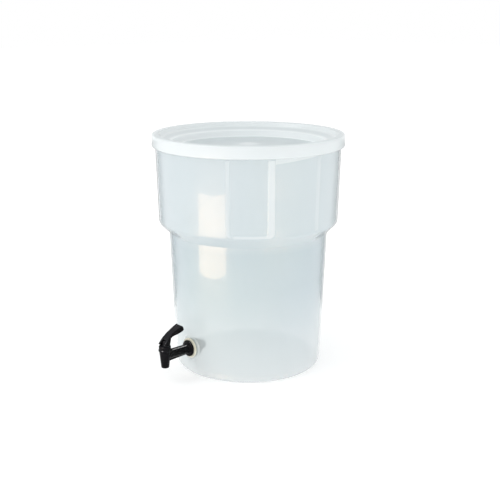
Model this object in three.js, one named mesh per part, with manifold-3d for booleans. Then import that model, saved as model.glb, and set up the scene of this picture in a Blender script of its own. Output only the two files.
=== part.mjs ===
// A translucent plastic fermenting bucket with a stepped snap lid and a lever tap.
// Millimetres, +Z up, base at z = 0, tap pointing along -Y.
import * as THREE from 'three';
import { mergeVertices } from 'three/addons/utils/BufferGeometryUtils.js';
import Module from 'manifold-3d';

const wasm = await Module();
wasm.setup();

// ---- driving dimensions ----
const ROUND = 60;               // facets round the bucket and lid
const FINE = 32;                // facets round the tap's pieces
const GAP = 0.3;                // space kept between neighbouring pieces

const LID_R = 158;              // lid skirt, outer radius
const HEIGHT = 390;             // base to the lid's crest
const LID_WALL = 2.0;
const SKIRT_Z = 370;            // lower edge of the lid's skirt
const PLUG_R = 123;             // sunken middle panel of the lid
const PLUG_Z = 366.7;           // its top face
const DOME = 5;                 // rise of the middle panel at its centre
const STEP_R = 143.2;           // outer radius of the ledge between the panel and the crest
const STEP_Z = 383.4;
const CREST_R = 147.4;          // inner radius of the crest

const WALL = 2.6;               // bucket wall
const BASE_R = 124;             // body radius just above the base
const NECK_R = 131.8;           // body radius under the shoulder
const NECK_Z = 228;
const BAND_R = 149;             // radius at the bottom of the upper band
const BAND_Z = 249;
const RIM_R = 152.9;            // outer radius of the rim
const RIM_Z = 385.5;
const FLOOR_Z = 12;             // top of the bucket's floor
const FLOOR_T = 3;
const FOOT_OUT = 119.5;         // foot ring that the bucket stands on
const FOOT_IN = 114.5;
const HEEL_R = 9;               // curve between the foot ring and the body
const SHOULDER_R = 7;           // curve between the shoulder and the band

const RIB_COUNT = 3;
const RIB_PHASE = 94.5;         // degrees from the tap to the first rib
const RIB_WIDTH = 10;
const RIB_PROUD = 0.6;
const RIB_LOW_Z = BAND_Z + 1;
const RIB_HIGH_Z = SKIRT_Z - 2;
const FRAME_ANGLE = 50.2;       // degrees from the tap to the middle of the label frame
const FRAME_W = 76;
const FRAME_SLIM = 7;           // width of the frame's upright bar nearer the tap
const FRAME_WIDE = 11.5;        // width of its other upright bar
const FRAME_FOOT = 4.5;         // height of the level bar between their lower ends
const FRAME_CORNER = 8;
const FRAME_LOW_Z = BAND_Z - 2;
const FRAME_PROUD = 1.0;

const TAP_Z = 46.5;             // height of the tap's shank
const PAD_OUT = 126;            // flat pad on the outside of the wall, from the bucket's axis
const PAD_IN = 121.4;           // flat pad on the inside
const INNER_FACE_U = PAD_IN - PAD_OUT;
const WASHER_T = 2.4;
const OUTER_WASHER_R = 16.6;
const INNER_WASHER_R = 15.5;
const FLANGE_LOW_U = 3.3;       // the tap's flange, outward from the pad
const FLANGE_HIGH_U = 6.8;
const FLANGE_R = 13.5;
const NUT_R = 11.4;
const NUT_FLANGE_R = 14.5;
const NUT_LENGTH = 9;
const GRIP_COUNT = 8;
const PAD_R = 21;
const HOLE_R = 8.3;
const SHANK_R = 7.7;
const SHANK_BORE_R = 4.6;
const SHANK_IN = -27;           // inner end of the shank, measured outward from the pad
const VALVE_U = 51.8;           // valve axis, measured outward from the pad
const SPOUT_TOP_R = 9.2;
const SPOUT_END_R = 6.4;
const SPOUT_END_Z = 25.5;
const CHAMBER_R = 7.2;          // bore of the valve chamber
const SEAT_Z = 35;              // valve seat inside the spout
const OUTLET_R = 4.4;
const BODY_TOP_Z = 55.4;
const BONNET_R = 10.4;
const BONNET_LOW_Z = 53.5;
const BONNET_TOP_Z = 63;
const COLLAR_R = 3.9;           // guide collar that the stem slides in
const COLLAR_TOP_Z = 64.6;
const STEM_R = 3.2;
const STEM_FOOT_Z = 41;
const SPRING_LOW_Z = 48.6;      // on the stem's shoulder
const SPRING_HIGH_Z = 58.2;     // under the bonnet
const SPRING_WIRE_R = 0.45;
const SPRING_COIL_R = 4.1;
const SPRING_TURNS = 4;
const PIN_Z = 67.5;
const PIN_R = 1.5;
const PIN_HALF = 8.4;
const LIFT = 2.5;               // how far the open valve stands off its seat
const CAM_TURN = 50 * Math.PI / 180;
const CAM_RISE = LIFT / CAM_TURN;          // stem lift per radian of lever turn
const CAM_START = PIN_Z - BONNET_TOP_Z;
const EAR_IN = 4.2;             // the lever's two cam ears, across X
const EAR_OUT = 8;
const PADDLE_HALF = 9;

const TAP_REACH = PAD_OUT + VALVE_U + BONNET_R;
const AXIS_Y = (TAP_REACH - LID_R) / 2;   // puts the origin under the middle of the whole object

// ---- materials ----
function plastic(colour, roughness, extra = {}) {
  return new THREE.MeshStandardMaterial({ color: colour, roughness, metalness: 0, ...extra });
}
const CLEAR = plastic(0xdfe9ea, 0.35, { transparent: true, opacity: 0.75 });
const LID_WHITE = plastic(0xf2fafb, 0.35);
const BLACK = plastic(0x17181a, 0.3);
const CREAM = plastic(0xe9e6d2, 0.6);
const SILICONE = plastic(0xd8dadb, 0.6);
const STEEL = new THREE.MeshStandardMaterial({ color: 0xb4b6b8, roughness: 0.3, metalness: 1 });

// ---- helpers ----
function toSolid(geometry) {
  const bare = geometry.clone();
  bare.deleteAttribute('normal');
  bare.deleteAttribute('uv');
  const merged = mergeVertices(bare, 1e-3);
  const index = merged.index.array;
  const kept = [];
  for (let i = 0; i < index.length; i += 3) {
    const [a, b, c] = [index[i], index[i + 1], index[i + 2]];
    if (a !== b && b !== c && a !== c) kept.push(a, b, c);
  }
  const vertProperties = new Float32Array(merged.attributes.position.array);
  return new wasm.Manifold(new wasm.Mesh({ numProp: 3, vertProperties, triVerts: new Uint32Array(kept) }));
}

function toGeometry(solid) {
  const mesh = solid.getMesh();
  const geometry = new THREE.BufferGeometry();
  geometry.setAttribute('position', new THREE.BufferAttribute(new Float32Array(mesh.vertProperties), 3));
  geometry.setIndex(new THREE.BufferAttribute(new Uint32Array(mesh.triVerts), 1));
  geometry.computeVertexNormals();
  return geometry;
}

// Area of the outline, positive when it runs anticlockwise in (radius, height).
function signedArea(points) {
  return points.reduce((sum, [r, z], i) => {
    const [r2, z2] = points[(i + 1) % points.length];
    return sum + (r * z2 - r2 * z) / 2;
  }, 0);
}

// Solid of revolution about Z from an outline of [radius, height] points, closed here.
function revolve(points, segments = FINE) {
  const outline = signedArea(points) > 0 ? [...points] : [...points].reverse();
  outline.push(outline[0]);
  const geometry = new THREE.LatheGeometry(outline.map(([r, z]) => new THREE.Vector2(r, z)), segments);
  return toSolid(geometry.rotateX(Math.PI / 2));
}

function shapeOf(points) {
  return new THREE.Shape(points.map(([x, y]) => new THREE.Vector2(x, y)));
}

// Plate with its outline in X and Z, standing from y0 to y1.
function plateXZ(points, y0, y1) {
  const geometry = new THREE.ExtrudeGeometry(shapeOf(points), { depth: y1 - y0, bevelEnabled: false });
  geometry.rotateX(Math.PI / 2);
  return toSolid(geometry.translate(0, y1, 0));
}

// Plate with its outline in [outward, height] at the tap, standing from x0 to x1.
function plateUZ(points, x0, x1) {
  const flipped = points.map(([u, z]) => [-u, z]).reverse();
  const geometry = new THREE.ExtrudeGeometry(shapeOf(flipped), { depth: x1 - x0, bevelEnabled: false });
  geometry.applyMatrix4(new THREE.Matrix4().set(0, 0, 1, x0, 1, 0, 0, 0, 0, 1, 0, 0, 0, 0, 0, 1));
  return toSolid(geometry);
}

// Plate with its outline in X and Y, standing from z0 to z1.
function plateXY(points, z0, z1) {
  const geometry = new THREE.ExtrudeGeometry(shapeOf(points), { depth: z1 - z0, bevelEnabled: false });
  return toSolid(geometry.translate(0, 0, z0));
}

function arc(centre, radius, from, to, steps) {
  return Array.from({ length: steps + 1 }, (_, i) => {
    const a = (from + (to - from) * i / steps) * Math.PI / 180;
    return [centre[0] + radius * Math.cos(a), centre[1] + radius * Math.sin(a)];
  });
}

function roundedBox(halfWide, low, high, corner) {
  return [
    ...arc([halfWide - corner, low + corner], corner, -90, 0, 3),
    ...arc([halfWide - corner, high - corner], corner, 0, 90, 3),
    ...arc([corner - halfWide, high - corner], corner, 90, 180, 3),
    ...arc([corner - halfWide, low + corner], corner, 180, 270, 3),
  ];
}

function circle(radius, steps = FINE) {
  return arc([0, 0], radius, 0, 360 * (1 - 1 / steps), steps - 1);
}

// Rod or tube lying along the tap's outward direction, from u0 to u1.
function alongTap(points, segments = FINE) {
  return revolve(points, segments).rotate([90, 0, 0]).translate([0, -PAD_OUT, TAP_Z]);
}

// Piece standing on the valve's vertical axis.
function onValve(solid) {
  return solid.translate([0, -PAD_OUT - VALVE_U, 0]);
}

function bandRadius(z) {
  return BAND_R + (RIM_R - BAND_R) * (z - BAND_Z) / (RIM_Z - BAND_Z);
}

function bodyRadius(z) {
  return BASE_R + (NECK_R - BASE_R) * (z - HEEL_R) / (NECK_Z - HEEL_R);
}

// ---- bucket ----
function bucketShell() {
  const outer = [
    [0, FLOOR_Z - FLOOR_T],
    [FOOT_IN - 3, FLOOR_Z - FLOOR_T],
    [FOOT_IN, 0],
    [FOOT_OUT, 0],
    ...arc([BASE_R - HEEL_R, HEEL_R], HEEL_R, -60, 0, 4),
    [NECK_R, NECK_Z],
    [BAND_R - 4, NECK_Z + BAND_R - 4 - NECK_R],
    ...arc([BAND_R - SHOULDER_R, BAND_Z], SHOULDER_R, -38, 0, 3),
    [RIM_R, RIM_Z],
  ];
  const lowInner = bodyRadius(FLOOR_Z + 6) - WALL;
  const inner = [
    [RIM_R - WALL, RIM_Z],
    [BAND_R - WALL, BAND_Z + 1],
    [BAND_R - WALL - 3, BAND_Z - 4.6],
    [NECK_R - WALL, NECK_Z + 1.1],
    [lowInner, FLOOR_Z + 6],
    [lowInner - 2, FLOOR_Z + 1.8],
    [lowInner - 6, FLOOR_Z],
    [0, FLOOR_Z],
  ];
  return revolve([...outer, ...inner], ROUND);
}

// Thin conical sleeve over the band; whatever is kept of it stands proud of the wall.
function bandSleeve(proud) {
  const low = FRAME_LOW_Z;
  const high = RIB_HIGH_Z;
  return revolve([
    [bandRadius(low) - 1, low],
    [bandRadius(low) + proud, low],
    [bandRadius(high) + proud, high],
    [bandRadius(high) - 1, high],
  ], ROUND);
}

function bandRibs() {
  let blocks = null;
  for (let i = 0; i < RIB_COUNT; i += 1) {
    const block = plateXZ(roundedBox(RIB_WIDTH / 2, RIB_LOW_Z, RIB_HIGH_Z, 2), -RIM_R - 5, -BAND_R + 12)
      .rotate([0, 0, RIB_PHASE + i * 360 / RIB_COUNT]);
    blocks = blocks ? blocks.add(block) : block;
  }
  return bandSleeve(RIB_PROUD).intersect(blocks);
}

// Two upright bars, open at the top, with a level bar between their rounded lower ends.
function labelFrame() {
  const half = FRAME_W / 2;
  const inner = FRAME_CORNER / 2;
  const turnZ = FRAME_LOW_Z + FRAME_CORNER;
  const foot = FRAME_LOW_Z + FRAME_FOOT + inner;
  const outline = [
    ...arc([half - FRAME_CORNER, turnZ], FRAME_CORNER, -90, 0, 3),
    [half, RIB_HIGH_Z],
    [half - FRAME_WIDE, RIB_HIGH_Z],
    ...arc([half - FRAME_WIDE - inner, foot], inner, 0, -90, 3),
    ...arc([FRAME_SLIM - half + inner, foot], inner, -90, -180, 3),
    [FRAME_SLIM - half, RIB_HIGH_Z],
    [-half, RIB_HIGH_Z],
    ...arc([FRAME_CORNER - half, turnZ], FRAME_CORNER, 180, 270, 3),
  ];
  const block = plateXZ(outline, -RIM_R - 5, -BAND_R + 20).rotate([0, 0, FRAME_ANGLE]);
  return bandSleeve(FRAME_PROUD).intersect(block);
}

function bucket() {
  const pad = plateXZ(circle(PAD_R), -PAD_OUT, -PAD_IN).translate([0, 0, TAP_Z]);
  const hole = plateXZ(circle(HOLE_R), -PAD_OUT - 10, -PAD_IN + 10).translate([0, 0, TAP_Z]);
  const outside = plateXZ(circle(PAD_R), -PAD_OUT - 10, -PAD_OUT).translate([0, 0, TAP_Z]);
  return bucketShell().add(bandRibs()).add(labelFrame()).add(pad).subtract(outside).subtract(hole);
}

// ---- lid and its seal ----
function lid() {
  const under = (z) => z - LID_WALL;
  const domeTop = Array.from({ length: 5 }, (_, i) => [PLUG_R * i / 5, PLUG_Z + DOME * (1 - (i / 5) ** 2)]);
  const top = [
    ...domeTop,
    [PLUG_R, PLUG_Z],
    [PLUG_R + 3, 377],
    [STEP_R, STEP_Z],
    [(STEP_R + CREST_R) / 2, HEIGHT - 1.8],
    [CREST_R, HEIGHT],
    [LID_R - 3.4, HEIGHT],
    ...arc([LID_R - 3.4, HEIGHT - 3.4], 3.4, 60, 0, 2),
    [LID_R, SKIRT_Z + 5],
    ...arc([LID_R - 3.2, SKIRT_Z + 3.4], 3.2, -20, -90, 3),
  ];
  const bottom = [
    [RIM_R + 0.6, SKIRT_Z],
    [RIM_R + 0.6, SKIRT_Z + 3],
    [LID_R - LID_WALL - 0.4, SKIRT_Z + 6],
    [LID_R - LID_WALL - 0.4, under(HEIGHT)],
    [RIM_R - WALL - 0.9, under(HEIGHT)],
    [STEP_R + 3.6, STEP_Z - 0.4],
    [STEP_R + 1.8, STEP_Z - 1.7],
    [PLUG_R + 4.7, 375.4],
    [PLUG_R + 1.6, under(PLUG_Z)],
    ...domeTop.map(([r, z]) => [r, under(z)]).reverse(),
  ];
  return revolve([...top, ...bottom], ROUND);
}

function lidSeal() {
  const low = RIM_Z + GAP;
  const high = HEIGHT - LID_WALL - GAP;
  const middle = RIM_R - WALL / 2;
  return revolve([
    [middle - 1.6, low], [middle + 1.6, low], [middle + 2.4, (low + high) / 2],
    [middle + 1.6, high], [middle - 1.6, high], [middle - 1.9, (low + high) / 2],
  ], ROUND);
}

// ---- tap ----
function tapBody() {
  const shank = alongTap([[0, SHANK_IN], [SHANK_R, SHANK_IN], [SHANK_R, VALVE_U], [0, VALVE_U]]);
  const flange = alongTap([
    [0, FLANGE_LOW_U], [FLANGE_R, FLANGE_LOW_U], [FLANGE_R, FLANGE_HIGH_U - 0.9],
    [FLANGE_R - 0.9, FLANGE_HIGH_U], [0, FLANGE_HIGH_U],
  ]);
  const web = plateUZ([[6, 34], [8, 33.6], [VALVE_U, 30], [VALVE_U, 50], [6, 50]], -1.8, 1.8)
    .intersect(alongTap([[0, 5], [9.6, 5], [SHANK_R + 1.4, VALVE_U], [0, VALVE_U]]));
  const spout = onValve(revolve([
    [0, SPOUT_END_Z], [SPOUT_END_R - 1, SPOUT_END_Z], [SPOUT_END_R, SPOUT_END_Z + 1.4],
    [SPOUT_TOP_R, 53], [SPOUT_TOP_R - 0.8, 53.4], [SPOUT_TOP_R - 0.8, BODY_TOP_Z], [0, BODY_TOP_Z],
  ]));
  const chamber = onValve(revolve([
    [0, SPOUT_END_Z - 5], [OUTLET_R + 0.4, SPOUT_END_Z - 5], [OUTLET_R, SEAT_Z - 1.2], [OUTLET_R, SEAT_Z],
    [CHAMBER_R - 1.2, SEAT_Z + 3], [CHAMBER_R, SEAT_Z + 6], [CHAMBER_R, BODY_TOP_Z + 5], [0, BODY_TOP_Z + 5],
  ]));
  const bore = alongTap([
    [0, SHANK_IN - 5], [SHANK_BORE_R, SHANK_IN - 5], [SHANK_BORE_R, VALVE_U], [0, VALVE_U],
  ]);
  const bonnetRoom = onValve(revolve([
    [SPOUT_TOP_R - 0.8, BONNET_LOW_Z - GAP], [BONNET_R + 2, BONNET_LOW_Z - GAP],
    [BONNET_R + 2, BODY_TOP_Z + 5], [SPOUT_TOP_R - 0.8, BODY_TOP_Z + 5],
  ]));
  return shank.add(flange).add(web).add(spout).subtract(bonnetRoom).subtract(chamber).subtract(bore);
}

function tapBonnet() {
  const skirtIn = SPOUT_TOP_R - 0.8 + GAP;
  return onValve(revolve([
    [skirtIn, BONNET_LOW_Z + 0.2], [BONNET_R - 0.6, BONNET_LOW_Z], [BONNET_R, BONNET_LOW_Z + 0.8],
    [BONNET_R, BONNET_TOP_Z - 2.2], [BONNET_R - 1.4, BONNET_TOP_Z], [COLLAR_R, BONNET_TOP_Z],
    [COLLAR_R, COLLAR_TOP_Z], [STEM_R + 0.05, COLLAR_TOP_Z], [STEM_R + 0.05, BODY_TOP_Z + 3.4],
    [5.2, BODY_TOP_Z + 3.4], [5.2, BODY_TOP_Z + GAP], [skirtIn, BODY_TOP_Z + GAP],
  ]));
}

function tapStem() {
  const rod = revolve([
    [0, STEM_FOOT_Z], [2.3, STEM_FOOT_Z], [2.3, 45.5], [4.6, 46], [4.6, 47.6], [STEM_R - 0.4, 48.2],
    [STEM_R - 0.4, BODY_TOP_Z + 2], [STEM_R, BODY_TOP_Z + 2.6], [STEM_R, PIN_Z + 2], [STEM_R - 1, PIN_Z + 3],
    [0, PIN_Z + 3],
  ]);
  const eye = toSolid(new THREE.CylinderGeometry(PIN_R + GAP, PIN_R + GAP, 20, 16)
    .rotateZ(Math.PI / 2).translate(0, 0, PIN_Z));
  return onValve(rod.subtract(eye));
}

function seatCup() {
  return onValve(revolve([
    [0, SEAT_Z + 0.6], [OUTLET_R - 0.6, SEAT_Z + 0.6], [CHAMBER_R - 2.2, SEAT_Z + 3.4], [6.3, SEAT_Z + 5.6],
    [6.3, 45.2], [2.3 + GAP, 45.2], [2.3 + GAP, STEM_FOOT_Z - GAP], [0, STEM_FOOT_Z - GAP],
  ]));
}

// Middle line of the spring's wire.
class Coil extends THREE.Curve {
  getPoint(t, target = new THREE.Vector3()) {
    const a = t * SPRING_TURNS * 2 * Math.PI;
    const low = SPRING_LOW_Z + SPRING_WIRE_R;
    const high = SPRING_HIGH_Z - SPRING_WIRE_R;
    return target.set(SPRING_COIL_R * Math.cos(a), SPRING_COIL_R * Math.sin(a), low + (high - low) * t);
  }
}

function tapSpring() {
  const section = shapeOf(circle(SPRING_WIRE_R, 6));
  const geometry = new THREE.ExtrudeGeometry(section, {
    steps: SPRING_TURNS * 14, bevelEnabled: false, extrudePath: new Coil(),
  });
  return onValve(toSolid(geometry));
}

function leverPin() {
  return onValve(toSolid(new THREE.CylinderGeometry(PIN_R, PIN_R, 2 * PIN_HALF, 16)
    .rotateZ(Math.PI / 2).translate(0, 0, PIN_Z)));
}

// Outline of a cam ear in [outward, height] from the pin: its lower edge stays on the bonnet's
// top while the lever turns and the pin climbs by CAM_RISE for each radian.
function camEdge() {
  const steps = 10;
  return Array.from({ length: steps + 1 }, (_, i) => {
    const turn = CAM_TURN * i / steps;
    const h = CAM_START + CAM_RISE * turn - 0.2;
    return [
      h * Math.sin(turn) + CAM_RISE * Math.cos(turn),
      -h * Math.cos(turn) + CAM_RISE * Math.sin(turn),
    ];
  });
}

function fromPin(points) {
  return points.map(([u, z]) => [u, z + PIN_Z]);
}

function tapLever() {
  const ear = fromPin([
    [-5.9, 0.6], [-5.3, -3], [-2.5, 0.2 - CAM_START], [CAM_RISE - 0.6, 0.2 - CAM_START], ...camEdge(),
    [5.9, -0.6], [4.2, 1.4], [-0.5, 6.6], [-3, 8.8], [-7.3, 7.1],
  ]);
  const ears = plateUZ(ear, -EAR_OUT, -EAR_IN).add(plateUZ(ear, EAR_IN, EAR_OUT));
  const bridge = plateUZ(fromPin([
    [0.4, 5.8], [-0.5, 6.6], [-8.4, 13.6], [-12.2, 15.8], [-12.2, 9.9], [-7.3, 7.1], [-5.6, 3.6],
    [-3.6, 3.4], [-1.8, 4.6], [-0.2, 5],
  ]), -EAR_OUT, EAR_OUT);
  const paddle = plateUZ(fromPin([
    [-3, 8.8], [-8.4, 13.6], [-17.6, 18.8], [-28.9, 23.6], [-30.8, 22.6], [-32.8, 17.6], [-32, 15.9],
    [-21.2, 11.6], [-11.7, 9.8], [-7.3, 7.1], [-4.6, 6.4],
  ]), -PADDLE_HALF, PADDLE_HALF);
  const plan = plateXY([
    [-EAR_OUT, 4], [-7.7, -3], [-6.8, -10], [-7.4, -18], [-8.9, -29], [-7.7, -35],
    [7.7, -35], [8.9, -29], [7.4, -18], [6.8, -10], [7.7, -3], [EAR_OUT, 4],
  ].map(([x, u]) => [x, -u]).reverse(), PIN_Z, PIN_Z + 40);
  const hole = toSolid(new THREE.CylinderGeometry(PIN_R + GAP, PIN_R + GAP, 40, 16)
    .rotateZ(Math.PI / 2).translate(0, 0, PIN_Z));
  return onValve(ears.add(bridge.add(paddle).intersect(plan)).subtract(hole));
}

function washer(outerR, u0, u1) {
  return alongTap([[SHANK_R + GAP, u0], [outerR - 0.4, u0], [outerR, u0 + 0.4], [outerR, u1 - 0.4],
    [outerR - 0.4, u1], [SHANK_R + GAP, u1]]);
}

function shankNut() {
  const outerU = INNER_FACE_U - 2 * GAP - WASHER_T;
  const innerU = outerU - NUT_LENGTH;
  let nut = alongTap([
    [SHANK_R + GAP, innerU], [NUT_R - 0.4, innerU], [NUT_R, innerU + 0.6], [NUT_R, outerU - 3],
    [NUT_FLANGE_R, outerU - 2.4], [NUT_FLANGE_R, outerU], [SHANK_R + GAP, outerU],
  ]);
  const grip = alongTap([[0, innerU + 0.8], [1.3, innerU + 0.8], [1.3, outerU - 2.6], [0, outerU - 2.6]], 8);
  for (let i = 0; i < GRIP_COUNT; i += 1) {
    const a = 2 * Math.PI * i / GRIP_COUNT;
    nut = nut.add(grip.translate([NUT_R * Math.cos(a), 0, NUT_R * Math.sin(a)]));
  }
  return nut;
}

// ---- assembly ----
const object = new THREE.Group();
const aboutAxis = new THREE.Group();
aboutAxis.position.y = AXIS_Y;
object.add(aboutAxis);

function place(name, solid, material) {
  const mesh = new THREE.Mesh(toGeometry(solid), material);
  mesh.name = name;
  aboutAxis.add(mesh);
}

place('bucket', bucket(), CLEAR);
place('lid', lid(), LID_WHITE);
place('lid_seal', lidSeal(), SILICONE);
place('tap_body', tapBody(), BLACK);
place('tap_bonnet', tapBonnet(), BLACK);
place('tap_stem', tapStem(), BLACK);
place('seat_cup', seatCup(), SILICONE);
place('tap_spring', tapSpring(), STEEL);
place('lever_pin', leverPin(), BLACK);
place('tap_lever', tapLever(), BLACK);
place('outer_washer', washer(OUTER_WASHER_R, GAP, FLANGE_LOW_U - GAP), CREAM);
place('inner_washer', washer(INNER_WASHER_R, INNER_FACE_U - GAP - WASHER_T, INNER_FACE_U - GAP), SILICONE);
place('shank_nut', shankNut(), BLACK);

export default object;
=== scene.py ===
import math

import bmesh
import bpy
from mathutils import Matrix, Vector


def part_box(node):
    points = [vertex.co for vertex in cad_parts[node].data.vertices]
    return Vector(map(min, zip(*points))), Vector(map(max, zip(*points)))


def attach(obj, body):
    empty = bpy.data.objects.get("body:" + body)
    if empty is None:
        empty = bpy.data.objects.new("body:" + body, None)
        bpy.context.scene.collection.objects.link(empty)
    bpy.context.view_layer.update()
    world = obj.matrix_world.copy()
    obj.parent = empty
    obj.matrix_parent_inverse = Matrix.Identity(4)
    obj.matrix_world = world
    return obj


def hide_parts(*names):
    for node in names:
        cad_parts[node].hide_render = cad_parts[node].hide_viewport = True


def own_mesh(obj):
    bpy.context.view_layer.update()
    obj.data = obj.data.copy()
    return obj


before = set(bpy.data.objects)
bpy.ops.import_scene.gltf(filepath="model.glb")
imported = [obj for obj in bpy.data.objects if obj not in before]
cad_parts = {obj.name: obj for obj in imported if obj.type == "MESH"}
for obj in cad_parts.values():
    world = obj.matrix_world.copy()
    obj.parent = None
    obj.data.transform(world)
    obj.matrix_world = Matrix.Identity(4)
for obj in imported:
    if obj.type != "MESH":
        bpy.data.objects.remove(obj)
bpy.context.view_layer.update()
node_box = {name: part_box(name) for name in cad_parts}

# ---------------------------------------------------------------------------
# Driving dimensions. Lengths are millimetres here and metres in the meshes.
# Radii are from the bucket's axis, heights from the floor, and u is the way
# outward along the tap from the flat pad on the bucket's wall.
# ---------------------------------------------------------------------------
MM = 0.001
lid_low, lid_high = node_box["lid"]
AXIS_Y = (lid_low.y + lid_high.y) / 2
LID_R = (lid_high.x - lid_low.x) / 2 / MM
HEIGHT = lid_high.z / MM
SKIRT_Z = 370.0
RIM_Z = node_box["bucket"][1].z / MM
TAP_Z = (node_box["outer_washer"][0].z + node_box["outer_washer"][1].z) / 2 / MM
VALVE_Y = (node_box["tap_bonnet"][0].y + node_box["tap_bonnet"][1].y) / 2
BONNET_R = (node_box["tap_bonnet"][1].x - node_box["tap_bonnet"][0].x) / 2 / MM
PIN_Z = (node_box["lever_pin"][0].z + node_box["lever_pin"][1].z) / 2 / MM

WALL = 2.6
BASE_R, BASE_Z = 124.0, 9.0
NECK_R, NECK_Z = 131.8, 228.0
BAND_R, BAND_Z = 149.0, 249.0
RIM_R = 152.9
FLOOR_Z = 12.0
FOOT_IN, FOOT_OUT = 114.5, 119.5
RIB_COUNT, RIB_PHASE, RIB_WIDTH, RIB_PROUD = 3, 94.5, 10.0, 0.6
FRAME_ANGLE, FRAME_WIDTH, FRAME_SLIM, FRAME_WIDE, FRAME_FOOT = 50.2, 76.0, 7.0, 11.5, 4.5
FRAME_LOW_Z, FRAME_CORNER, FRAME_PROUD = BAND_Z - 2, 8.0, 1.0
PAD_OUT, PAD_IN, PAD_R, HOLE_R = 126.0, 121.4, 21.0, 8.3
VALVE_U = -(VALVE_Y - AXIS_Y) / MM - PAD_OUT
SHANK_R, SHANK_BORE_R, SHANK_IN = 7.7, 4.6, -27.0
PLUG_R, PLUG_Z, DOME = 123.0, 366.7, 5.0
LID_WALL = 2.0

CAMERA_AZIMUTH = 49.0
CAMERA_DISTANCE = 1.474
CAMERA_HEIGHT = 0.585
CAMERA_PITCH = 14.98
CAMERA_LENS = 64.8
CAMERA_SHIFT = 0.0034

PANE_COLOUR = (1, 0.66, 0.40)
GLINT_SIZE = 0.22


# ---------------------------------------------------------------------------
# Camera
# ---------------------------------------------------------------------------
def make_camera():
    data = bpy.data.cameras.new("camera")
    data.lens = CAMERA_LENS
    data.sensor_width = 36
    data.shift_x = CAMERA_SHIFT
    camera = bpy.data.objects.new("camera", data)
    bpy.context.scene.collection.objects.link(camera)
    turn = math.radians(CAMERA_AZIMUTH)
    camera.location = (
        CAMERA_DISTANCE * math.sin(turn),
        AXIS_Y - CAMERA_DISTANCE * math.cos(turn),
        CAMERA_HEIGHT,
    )
    camera.rotation_euler = (math.radians(90 - CAMERA_PITCH), 0, turn)
    bpy.context.scene.camera = camera


make_camera()


# ---------------------------------------------------------------------------
# Materials
# ---------------------------------------------------------------------------
def principled(name, **sockets):
    material = bpy.data.materials.new(name)
    material.use_nodes = True
    shader = material.node_tree.nodes["Principled BSDF"]
    for socket, value in sockets.items():
        shader.inputs[socket.replace("_", " ")].default_value = value
    return material, material.node_tree, shader


def noise(tree, scale, detail=3.0, stretch=(1, 1, 1)):
    place = tree.nodes.new("ShaderNodeTexCoord")
    mapping = tree.nodes.new("ShaderNodeMapping")
    mapping.inputs["Scale"].default_value = stretch
    texture = tree.nodes.new("ShaderNodeTexNoise")
    texture.inputs["Scale"].default_value = scale
    texture.inputs["Detail"].default_value = detail
    tree.links.new(place.outputs["Object"], mapping.inputs["Vector"])
    tree.links.new(mapping.outputs["Vector"], texture.inputs["Vector"])
    return texture.outputs["Fac"]


def spread(tree, source, low, high):
    """The noise, which is mostly between 0.3 and 0.7, spread over low to high."""
    node = tree.nodes.new("ShaderNodeMapRange")
    node.interpolation_type = "SMOOTHSTEP"
    node.inputs["From Min"].default_value = 0.3
    node.inputs["From Max"].default_value = 0.7
    node.inputs["To Min"].default_value = low
    node.inputs["To Max"].default_value = high
    tree.links.new(source, node.inputs["Value"])
    return node.outputs["Result"]


def two_tone(tree, source, first, second):
    node = tree.nodes.new("ShaderNodeMix")
    node.data_type = "RGBA"
    tree.links.new(spread(tree, source, 0, 1), node.inputs["Factor"])
    node.inputs["A"].default_value = (*first, 1)
    node.inputs["B"].default_value = (*second, 1)
    return node.outputs["Result"]


def bump(tree, height, strength, distance, under=None):
    node = tree.nodes.new("ShaderNodeBump")
    node.inputs["Strength"].default_value = strength
    node.inputs["Distance"].default_value = distance
    tree.links.new(height, node.inputs["Height"])
    if under:
        tree.links.new(under, node.inputs["Normal"])
    return node.outputs["Normal"]


def painted(tree, name):
    node = tree.nodes.new("ShaderNodeAttribute")
    node.attribute_name = name
    return node.outputs["Fac"]


def blended(tree, factor, first, second):
    """A mix of two colours or colour outputs by a factor output."""
    node = tree.nodes.new("ShaderNodeMix")
    node.data_type = "RGBA"
    tree.links.new(factor, node.inputs["Factor"])
    for socket, colour in (("A", first), ("B", second)):
        if isinstance(colour, tuple):
            node.inputs[socket].default_value = (*colour, 1)
        else:
            tree.links.new(colour, node.inputs[socket])
    return node.outputs["Result"]


def clear_plastic():
    material, tree, shader = principled(
        "clear_plastic", Alpha=0.38, Coat_Weight=0.8, Coat_Roughness=0.03, IOR=1.49,
    )
    tints = two_tone(tree, noise(tree, 5, 1, (1, 1, 0.5)), (0.56, 0.665, 0.72), (0.60, 0.705, 0.71))
    # Mixed toward white by the painted attribute, which holds the plastic's whiter parts and painted light as
    # well.
    colour = blended(tree, painted(tree, "whiteness"), tints, (0.94, 0.98, 0.99))
    tree.links.new(colour, shader.inputs["Base Color"])
    tree.links.new(spread(tree, noise(tree, 14, 2), 0.29, 0.36), shader.inputs["Roughness"])
    tree.links.new(bump(tree, noise(tree, 9, 1, (1, 1, 0.35)), 0.02, 0.001), shader.inputs["Normal"])
    return material


def lid_plastic():
    material, tree, shader = principled(
        "lid_plastic", Alpha=0.72, Coat_Weight=0.35, Coat_Roughness=0.08, IOR=1.5,
    )
    clouds = two_tone(tree, noise(tree, 9, 1), (0.895, 0.95, 0.96), (0.925, 0.965, 0.975))
    # Mixed from the grey panel toward the white clouds by the painted attribute, which also holds a painted
    # highlight at the centre and painted darkening on the ledge and crest.
    colour = blended(tree, painted(tree, "whiteness"), (0.54, 0.61, 0.63), clouds)
    tree.links.new(colour, shader.inputs["Base Color"])
    tree.links.new(spread(tree, noise(tree, 20, 2), 0.29, 0.37), shader.inputs["Roughness"])
    tree.links.new(bump(tree, noise(tree, 12, 1), 0.02, 0.001), shader.inputs["Normal"])
    return material


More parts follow.
